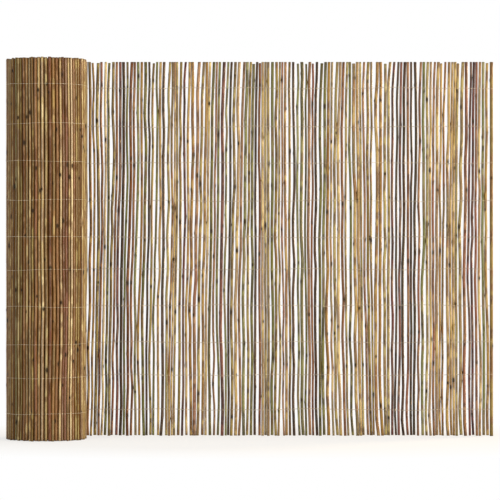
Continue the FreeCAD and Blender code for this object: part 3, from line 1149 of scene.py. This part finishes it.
@dataclass
class BindingWires:
    """Rows of two strands that cross between the rods, so that each rod has one on both sides of it."""

    loose: LooseRods
    rolled: RolledRods
    thickness: float = 0.78 * MM
    sides: int = 6
    hug: tuple[float, ...] = (-60.0, -30.0, 0.0, 30.0, 60.0)  # degrees round a rod
    end_turn: tuple[float, ...] = (-20.0, 0.0, 20.0)  # degrees round the rod at the free end
    least_gap_to_cross: float = 0.9 * MM
    lift: float = 0.55  # of a strand above or below the row's middle where two cross, in thicknesses
    most_uneven: float = 0.15 * MM  # by which a crossing is off that height
    open_back: float = 30.0  # degrees of the outer turn that the strands leave free, where the mat leaves it
    sway: float = 2.3 * MM  # most that a row rises and falls, in a long wave and a short one
    long_wave: float = 0.46
    short_wave: float = 0.19
    short_share: float = 0.6  # height of the short wave, as a share of the long one's
    slant: float = 0.6  # of the waves' crests, seen from above, so that front and back of the roll differ
    seed: int = 5

    def carriers(self, height: float) -> list[tuple[np.ndarray, float, float]]:
        """The rods that one row passes, from the free end into the roll.

        Args:
            height: height of the row.

        Returns:
            The centre, the radius and the angle of the outward direction of each.
        """
        z = np.array([height])
        found = []
        for rod in sorted(self.loose.rods, key=lambda r: -r.sections[0][1]):
            found.append((rod.centre(z)[0], float(rod.radius(z)[0]), math.pi / 2))
        last = math.radians(360 - self.open_back) * self.rolled.turn_radius
        for rod, distance in zip(self.rolled.rods, self.rolled.places):
            if distance < last:
                found.append((rod.centre(z)[0], float(rod.radius(z)[0]), self.rolled.place(distance)[2]))
        return found

    def strand(self, carriers: list[tuple[np.ndarray, float, float]], height: float, side: int,
               draw: random.Random) -> list[tuple[float, float, float]]:
        """Path of one strand.

        Args:
            carriers: the rods that it passes.
            height: height of the row.
            side: 1 if it starts on the outer side of the first rod, which is the mat's back, or else -1.
            draw: source of its small unevenness.

        Returns:
            The points of its middle line, from the free end into the roll.
        """
        half = self.thickness / 2
        lift = side * self.lift * self.thickness
        points = []
        for i, (centre, radius, angle) in enumerate(carriers):
            out = np.array((math.cos(angle), math.sin(angle)))
            on = np.array((-math.sin(angle), math.cos(angle)))
            for turn in self.hug:
                beyond, away = math.sin(math.radians(turn)), side * math.cos(math.radians(turn))
                spot = centre + (radius + half) * (beyond * on + away * out)
                points.append((*spot, height))
            if i + 1 == len(carriers):
                break
            following, next_radius, next_angle = carriers[i + 1]
            next_on = np.array((-math.sin(next_angle), math.cos(next_angle)))
            near, far = centre + radius * on, following - next_radius * next_on
            if np.dot(far - near, on) > self.least_gap_to_cross:
                off = draw.uniform(-self.most_uneven, self.most_uneven)
                points.append((*((near + far) / 2), height + lift + off))
                side, lift = -side, -lift
        return points

    def swayed(self, path: np.ndarray, phases: list[float]) -> np.ndarray:
        """Let a row rise and fall a little over its length.

        Args:
            path: points of the whole row.
            phases: where its waves start.

        Returns:
            The points with their new heights.
        """
        place = path[:, 0] - self.slant * path[:, 1]
        long = np.sin(place * math.tau / self.long_wave + phases[0])
        short = np.sin(place * math.tau / self.short_wave + phases[1])
        path[:, 2] += self.sway * (long + self.short_share * short) / (1 + self.short_share)
        return path

    def build(self, zinc: bpy.types.Material) -> None:
        """Build the ten rows, each as one wire that turns round the rod at the free end.

        Args:
            zinc: material of the wire.
        """
        rows = sorted(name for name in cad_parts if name.startswith("binding_wire_"))
        draw = random.Random(self.seed)
        for node in rows:
            low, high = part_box(node)
            height = (low.z + high.z) / 2
            carriers = self.carriers(height)
            front = self.strand(carriers, height, -1, draw)
            back = self.strand(carriers, height, 1, draw)
            centre, radius, _ = carriers[0]
            reach = radius + self.thickness / 2
            turn = [(centre[0] + reach * math.cos(a), centre[1] + reach * math.sin(a), height)
                    for a in np.radians(self.end_turn)]
            path = np.array(front[::-1] + turn + back)
            phases = [draw.uniform(0.0, math.tau) for _ in range(2)]
            self.wire(self.swayed(path, phases), node, zinc)

    def wire(self, path: np.ndarray, node: str, zinc: bpy.types.Material) -> bpy.types.Object:
        """Sweep the wire's round section along its path.

        Args:
            path: points of its middle line.
            node: CAD node that it stands for.
            zinc: material of the wire.

        Returns:
            The piece.
        """
        along = np.gradient(path, axis=0)
        along /= np.linalg.norm(along, axis=1, keepdims=True)
        side = np.cross(along, (0.0, 0.0, 1.0))
        side /= np.linalg.norm(side, axis=1, keepdims=True)
        up = np.cross(along, side)
        angles = np.arange(self.sides) * math.tau / self.sides
        ring = np.cos(angles)[None, :, None] * side[:, None] + np.sin(angles)[None, :, None] * up[:, None]
        points = (path[:, None] + self.thickness / 2 * ring).reshape(-1, 3)
        grid = np.arange(len(points)).reshape(-1, self.sides)
        beyond = np.roll(grid, -1, axis=1)
        quads = np.stack((grid[:-1], beyond[:-1], beyond[1:], grid[1:]), axis=2).reshape(-1, 4)
        faces = quads.tolist() + [grid[0][::-1].tolist(), grid[-1].tolist()]
        mesh = bpy.data.meshes.new(node)
        mesh.from_pydata(points.tolist(), [], faces)
        mesh.materials.append(zinc)
        mesh.polygons.foreach_set("use_smooth", [True] * len(faces))
        return settle(mesh, node.replace("binding_wire", "crossed_strands"), node)


@dataclass
class Studio:
    """White surround, pale floor, soft lamps and the camera of the photograph."""

    camera_x: float = -0.0035
    camera_distance: float = 7.2  # from the middle of the mat
    camera_height: float = 0.5
    view_width: float = 1.337  # of the picture, at the mat
    picture_shift: float = -0.002
    sensor_width: float = 36.0  # in millimetres, as Blender wants it
    sight: float = 60.0  # the furthest that the camera sees
    surround_light: float = 0.2  # on all that the camera doesn't see directly
    floor_size: float = 30.0
    floor_colour: str = "#F4F3F0"
    shadow_reach: float = 0.6
    shadow_share: float = 0.34  # of the floor's own shade that shows near the panel

    def camera(self) -> None:
        """Set the camera level with the middle of the panel, straight in front of it."""
        data = bpy.data.cameras.new("camera")
        data.sensor_width = self.sensor_width
        data.lens = self.sensor_width * self.camera_distance / self.view_width
        data.shift_y = self.picture_shift
        data.clip_end = self.sight
        camera = bpy.data.objects.new("camera", data)
        bpy.context.scene.collection.objects.link(camera)
        low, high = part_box("olive_rods")
        mat_y = (low.y + high.y) / 2
        camera.location = (self.camera_x, mat_y - self.camera_distance, self.camera_height)
        camera.rotation_euler = (math.pi / 2, 0.0, 0.0)
        bpy.context.scene.camera = camera

    def lamp(self, name: str, place: tuple[float, float, float], aim: tuple[float, float, float], size: float,
             power: float, colour: str) -> None:
        """Add a soft square lamp.

        Args:
            name: name of the lamp.
            place: where it is.
            aim: the point that it faces.
            size: length of its side.
            power: its power in watts.
            colour: sRGB colour of its light.
        """
        data = bpy.data.lights.new(name, "AREA")
        data.shape = "SQUARE"
        data.size = size
        data.energy = power
        data.color = linear(colour)[:3]
        lamp = bpy.data.objects.new(name, data)
        bpy.context.scene.collection.objects.link(lamp)
        lamp.location = place
        direction = np.array(aim) - np.array(place)
        flat = math.hypot(direction[0], direction[1])
        lamp.rotation_euler = (math.atan2(flat, -direction[2]), 0.0, math.atan2(-direction[0], direction[1]))

    def lamps(self) -> None:
        """Key and edge lamps on the right, a weak one on the left, and one above for the cut ends."""
        self.lamp("key_lamp", (8.0, -5.8, 2.3), (0.0, 0.0, 0.5), 2.4, 1100.0, "#FFEFD6")
        self.lamp("edge_lamp", (6.8, 4.8, 1.4), (0.0, 0.1, 0.5), 2.4, 1100.0, "#FFE2B8")
        self.lamp("weak_lamp", (-3.0, -4.0, 1.6), (0.0, 0.0, 0.5), 2.0, 80.0, "#FBF6EC")
        self.lamp("top_lamp", (0.0, 0.0, 5.5), (0.0, 0.0, 1.0), 2.5, 110.0, "#FFF9F0")

    def surround(self) -> None:
        """White for the camera, and a soft grey light for everything else."""
        world = bpy.data.worlds.new("white_surround")
        bpy.context.scene.world = world
        world.use_nodes = True
        tree = world.node_tree
        tree.nodes.clear()
        ray = add(tree, "LightPath").outputs
        seen = add(tree, "Math", {"operation": "MAXIMUM"},
                   {0: ray["Is Camera Ray"], 1: ray["Is Glossy Ray"]}).outputs[0]
        seen = add(tree, "Math", {"operation": "MAXIMUM"},
                   {0: seen, 1: ray["Is Transmission Ray"]}).outputs[0]
        strength = add(tree, "MapRange", inputs={
            "Value": seen, "To Min": self.surround_light, "To Max": 1.0}).outputs[0]
        light = add(tree, "Background", inputs={"Color": grey(1.0), "Strength": strength}).outputs[0]
        add(tree, "OutputWorld", inputs={"Surface": light})

    def floor(self) -> None:
        """A pale floor that shows a soft shadow near the panel and fades to white further off."""
        mesh = bpy.data.meshes.new("floor")
        half = self.floor_size / 2
        corners = [(-half, -half, 0), (half, -half, 0), (half, half, 0), (-half, half, 0)]
        mesh.from_pydata(corners, [], [(0, 1, 2, 3)])
        material, tree = new_material("floor_matt_paper")
        place = add(tree, "TexCoord").outputs["Object"]
        low, high = MODEL_BOX
        scale = [1 / ((high[i] - low[i]) / 2 + self.shadow_reach) for i in range(2)] + [1.0]
        spot = add(tree, "Mapping", inputs={"Vector": place, "Scale": scale}).outputs[0]
        near = add(tree, "TexGradient", {"gradient_type": "SPHERICAL"}, {"Vector": spot}).outputs["Fac"]
        shown = add(tree, "MapRange", inputs={
            "Value": near, "From Min": 0.0, "From Max": 0.5,
            "To Min": 0.0, "To Max": self.shadow_share}).outputs[0]
        ray = add(tree, "LightPath").outputs
        seen = add(tree, "Math", {"operation": "MAXIMUM"},
                   {0: ray["Is Camera Ray"], 1: ray["Is Glossy Ray"]}).outputs[0]
        white_share = add(tree, "Math", {"operation": "SUBTRACT"}, {0: 1.0, 1: shown}).outputs[0]
        white_share = add(tree, "Math", {"operation": "MULTIPLY"}, {0: white_share, 1: seen}).outputs[0]
        paper = add(tree, "BsdfDiffuse", inputs={"Color": linear(self.floor_colour)}).outputs[0]
        white = add(tree, "Emission", inputs={"Color": grey(1.0), "Strength": 1.0}).outputs[0]
        mixed = add(tree, "MixShader", inputs={0: white_share, 1: paper, 2: white}).outputs[0]
        add(tree, "OutputMaterial", inputs={"Surface": mixed})
        mesh.materials.append(material)
        floor = bpy.data.objects.new("floor", mesh)
        bpy.context.scene.collection.objects.link(floor)

    def build(self) -> None:
        """Set up camera, lamps, surround and floor."""
        bpy.context.scene.view_settings.view_transform = "Standard"
        self.camera()
        self.lamps()
        self.surround()
        self.floor()


def main() -> None:
    """Build the studio and the panel."""
    logging.basicConfig(level=logging.INFO, format="%(name)s: %(message)s")
    Studio().build()
    dressings = {kind: bark.material() for kind, bark in BARKS.items()}
    wood = SawnWood().material()
    loose = LooseRods()
    loose.build(dressings, wood)
    rolled = RolledRods()
    rolled.build(dressings, wood)
    BindingWires(loose, rolled).build(ZincWire().material())


if __name__ == "__main__":
    main()
